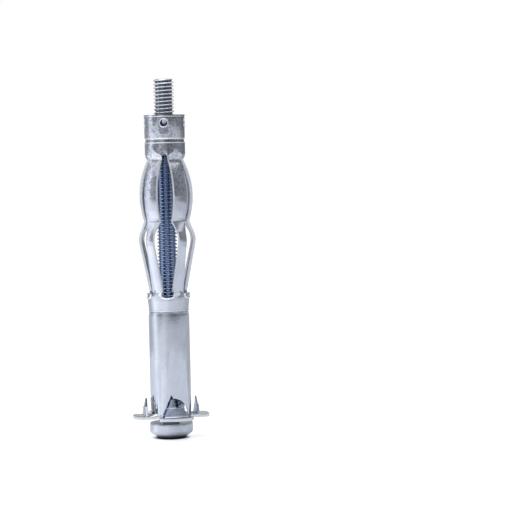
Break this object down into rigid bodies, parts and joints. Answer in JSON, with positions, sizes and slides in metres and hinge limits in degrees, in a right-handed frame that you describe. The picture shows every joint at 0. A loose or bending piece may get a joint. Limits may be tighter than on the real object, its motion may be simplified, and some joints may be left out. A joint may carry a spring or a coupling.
{
  "type": "hollow wall anchor",
  "caption": "Unset metal hollow wall anchor: a rolled sheet sleeve with a clawed flange and bulged folding legs, a crimped nut and a pan head screw that turns in it.",
  "frame": {"origin": "middle of the flat on the screw head, where the anchor stands", "axes": "+Z along the screw from its head to its point, -Y toward the middle of a wide flange petal, +X toward the middle of a narrow one"},
  "size_m": [0.015, 0.015, 0.0702],
  "materials": {
    "sleeve_steel": "bright zinc plated sheet",
    "nut_steel": "zinc plated, turned",
    "screw_steel": "zinc plated, rolled thread"
  },
  "bodies": {
    "anchor": {"sleeve": "sleeve_steel", "nut": "nut_steel"},
    "screw": {"screw": "screw_steel"}
  },
  "joints": [
    {"name": "screw_turn", "type": "hinge", "parent": "anchor", "child": "screw", "pos_m": [0, 0, 0.0593], "axis": [0, 0, 1], "range_deg": [-7226, 514]}
  ]
}
